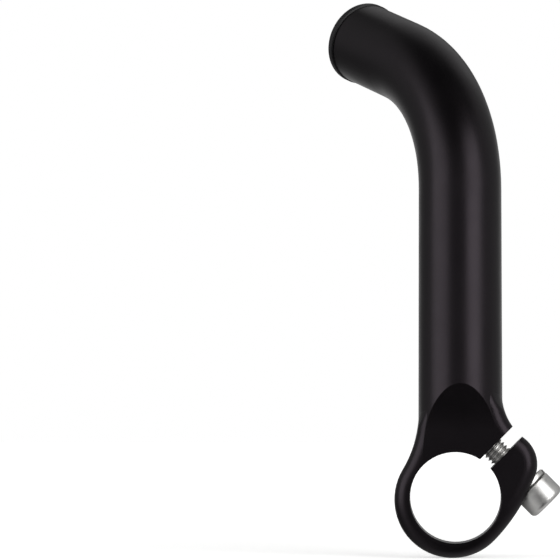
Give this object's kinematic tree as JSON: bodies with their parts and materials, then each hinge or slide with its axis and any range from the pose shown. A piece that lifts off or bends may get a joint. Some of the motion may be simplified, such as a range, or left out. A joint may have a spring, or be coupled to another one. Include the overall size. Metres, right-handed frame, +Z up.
{
  "type": "bicycle bar end",
  "caption": "Short black bar end for a bicycle handlebar: a leaning tube whose tip bends forward and outward, on a split clamp ring closed by a socket head screw, with a plug in its open end.",
  "frame": {"origin": "centre of the clamp bore, on the bore's axis and midway across the clamp's width", "axes": "+Y along the handlebar towards its middle, the way that it leaves the clamp; +Z up the tube, the object's longest way; -X towards the bend's outer side, +X towards the clamp screw's head"},
  "size_m": [0.0589, 0.0712, 0.1422],
  "materials": {
    "anodised_body": "satin black anodised over a fine blasted surface",
    "plug_plastic": "moulded, matt",
    "plated_steel": "bright zinc plated"
  },
  "bodies": {
    "bar_end": {"bar_end_body": "anodised_body", "end_plug": "plug_plastic"},
    "washer": {"lock_washer": "plated_steel"},
    "screw": {"clamp_bolt": "plated_steel"}
  },
  "joints": [
    {"name": "screw_advance", "type": "slide", "parent": "bar_end", "child": "washer", "axis": [0.7071, 0, -0.7071], "range_m": [0, 0.01]},
    {"name": "screw_turn", "type": "hinge", "parent": "washer", "child": "screw", "pos_m": [0.01068, 0, 0.01068], "axis": [0.7071, 0, -0.7071], "range_deg": [0, 3600]}
  ],
  "couplings": [
    {"joint": "screw_turn", "follows": "screw_advance", "rad_per_m": 6283.2}
  ]
}
